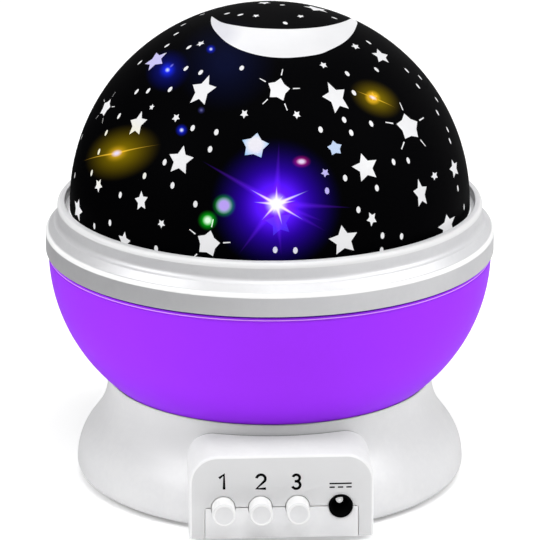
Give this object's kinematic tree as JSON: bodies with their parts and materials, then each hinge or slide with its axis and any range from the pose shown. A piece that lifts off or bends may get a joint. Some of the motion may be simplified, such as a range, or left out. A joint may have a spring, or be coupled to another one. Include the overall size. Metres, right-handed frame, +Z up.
{
  "type": "star night light projector",
  "caption": "Round night light: bell-shaped base with push buttons and a DC inlet, a turning bowl, and a lift-off dome with star windows lit from inside.",
  "frame": {"origin": "on the spin axis, in the plane that the foot ring stands on", "axes": "+Z up along the spin axis, -Y towards the control box, +X to the right seen from the front"},
  "size_m": [0.13, 0.132, 0.1404],
  "materials": {
    "white_shell": "satin moulded plastic",
    "cover_plastic": "satin moulded plastic",
    "button_white": "satin moulded plastic",
    "ring_white": "glossy moulded plastic",
    "bowl_purple": "glossy moulded plastic",
    "dome_milky": "milky translucent plastic",
    "print_black": "glossy black print with clear windows",
    "foot_rubber": "matt rubber",
    "screw_steel": "zinc plated",
    "contact_metal": "nickel plated",
    "motor_steel": "drawn steel",
    "cell_jacket": "printed film jacket",
    "dark_plastic": "moulded",
    "socket_black": "moulded",
    "gear_plastic": "natural acetal",
    "board_green": "solder mask",
    "board_white": "white solder mask",
    "lead_red": "wire insulation",
    "lead_blue": "wire insulation",
    "lead_orange": "wire insulation",
    "lamp_white": "clear epoxy lens",
    "lamp_red": "tinted epoxy lens",
    "lamp_green": "tinted epoxy lens",
    "lamp_blue": "tinted epoxy lens"
  },
  "bodies": {
    "base": {"base_shell": "white_shell", "bottom_cover": "cover_plastic", "foot_ring": "foot_rubber", "case_screws": "screw_steel", "battery_cells": "cell_jacket", "contact_plates": "contact_metal", "contact_springs": "contact_metal", "battery_lead": "lead_red", "switch_board": "board_green", "switch_housings": "dark_plastic", "board_chips": "dark_plastic", "power_socket": "socket_black", "socket_pin": "contact_metal", "motor_can": "motor_steel", "gearbox_housing": "motor_steel", "motor_screws": "screw_steel", "motor_lead": "lead_blue", "lamp_column": "white_shell", "column_screws": "screw_steel", "thrust_washer": "gear_plastic", "retaining_ring": "screw_steel", "lamp_lead": "lead_orange", "lamp_holder": "white_shell", "lamp_board": "board_white", "led_white": "lamp_white", "led_red": "lamp_red", "led_green": "lamp_green", "led_blue": "lamp_blue"},
    "bowl": {"bowl_shell": "bowl_purple", "bowl_bush": "gear_plastic", "bowl_gear": "gear_plastic", "gear_screws": "screw_steel"},
    "pinion": {"drive_pinion": "gear_plastic", "output_shaft": "contact_metal"},
    "cover": {"collar_ring": "ring_white", "dome": "dome_milky", "dome_retainer": "ring_white", "star_mask": "print_black"},
    "battery_door": {"battery_door": "cover_plastic"},
    "button_1": {"button_cap_1": "button_white", "button_stem_1": "dark_plastic"},
    "button_2": {"button_cap_2": "button_white", "button_stem_2": "dark_plastic"},
    "button_3": {"button_cap_3": "button_white", "button_stem_3": "dark_plastic"}
  },
  "joints": [
    {"name": "bowl_spin", "type": "hinge", "parent": "base", "child": "bowl", "pos_m": [0, 0, 0.028], "axis": [0, 0, 1], "continuous": true},
    {"name": "pinion_spin", "type": "hinge", "parent": "base", "child": "pinion", "pos_m": [0, -0.0216, 0.0255], "axis": [0, 0, 1], "continuous": true},
    {"name": "cover_lift", "type": "slide", "parent": "bowl", "child": "cover", "axis": [0, 0, 1], "range_m": [0, 0.06]},
    {"name": "door_hinge", "type": "hinge", "parent": "base", "child": "battery_door", "pos_m": [0, 0.0342, 0.0025], "axis": [1, 0, 0], "range_deg": [0, 90]},
    {"name": "button_1_press", "type": "slide", "parent": "base", "child": "button_1", "axis": [0, 1, 0], "range_m": [0, 0.0018], "stiffness_N_per_m": 300},
    {"name": "button_2_press", "type": "slide", "parent": "base", "child": "button_2", "axis": [0, 1, 0], "range_m": [0, 0.0018], "stiffness_N_per_m": 300},
    {"name": "button_3_press", "type": "slide", "parent": "base", "child": "button_3", "axis": [0, 1, 0], "range_m": [0, 0.0018], "stiffness_N_per_m": 300}
  ],
  "couplings": [
    {"joint": "pinion_spin", "follows": "bowl_spin", "ratio": -5}
  ]
}
